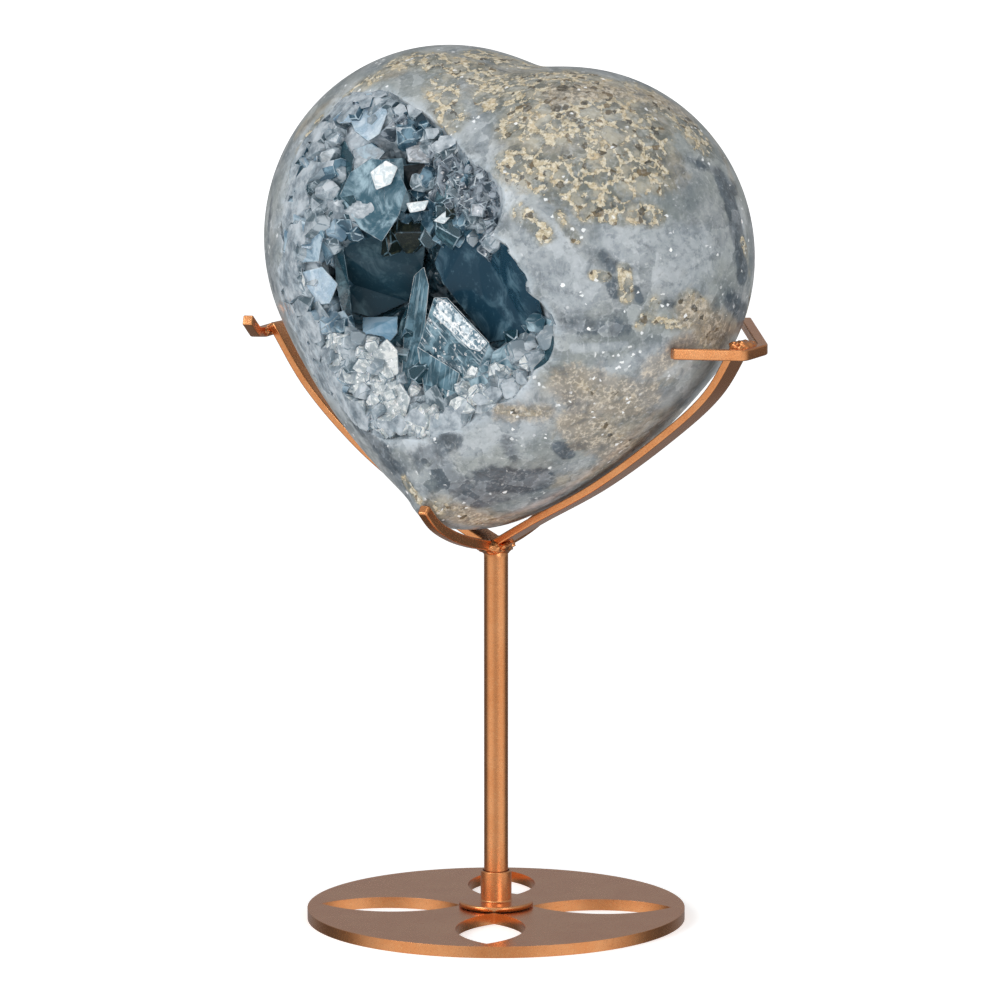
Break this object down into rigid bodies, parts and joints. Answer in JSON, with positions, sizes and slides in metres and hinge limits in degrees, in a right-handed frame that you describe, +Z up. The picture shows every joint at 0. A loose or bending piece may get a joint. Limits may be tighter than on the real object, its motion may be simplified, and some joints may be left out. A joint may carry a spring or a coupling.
{
  "type": "crystal heart on display stand",
  "caption": "Polished mineral heart with an open crystal-lined hollow, resting in a cradle of bent strips and hooked rods on a post with a round slotted base.",
  "frame": {"origin": "centre of the round base plate's underside", "axes": "+Z up, the heart faces -Y, and the stand's two arms lie in the X-Z plane"},
  "size_m": [0.1496, 0.1, 0.23],
  "materials": {
    "copper_paint": "satin metallic copper paint with a fine sparkle",
    "polished_celestite": "high polish, cloudy grey-blue with cream veins",
    "celestite_crystal": "natural crystal faces, clear blue to teal"
  },
  "bodies": {
    "root": {"base_plate": "copper_paint", "post_socket": "copper_paint", "post": "copper_paint", "right_arm": "copper_paint", "left_arm": "copper_paint", "right_claw": "copper_paint", "left_claw": "copper_paint", "front_prong": "copper_paint", "back_prong": "copper_paint", "heart": "polished_celestite", "crystal_crust": "celestite_crystal"}
  },
  "joints": []
}
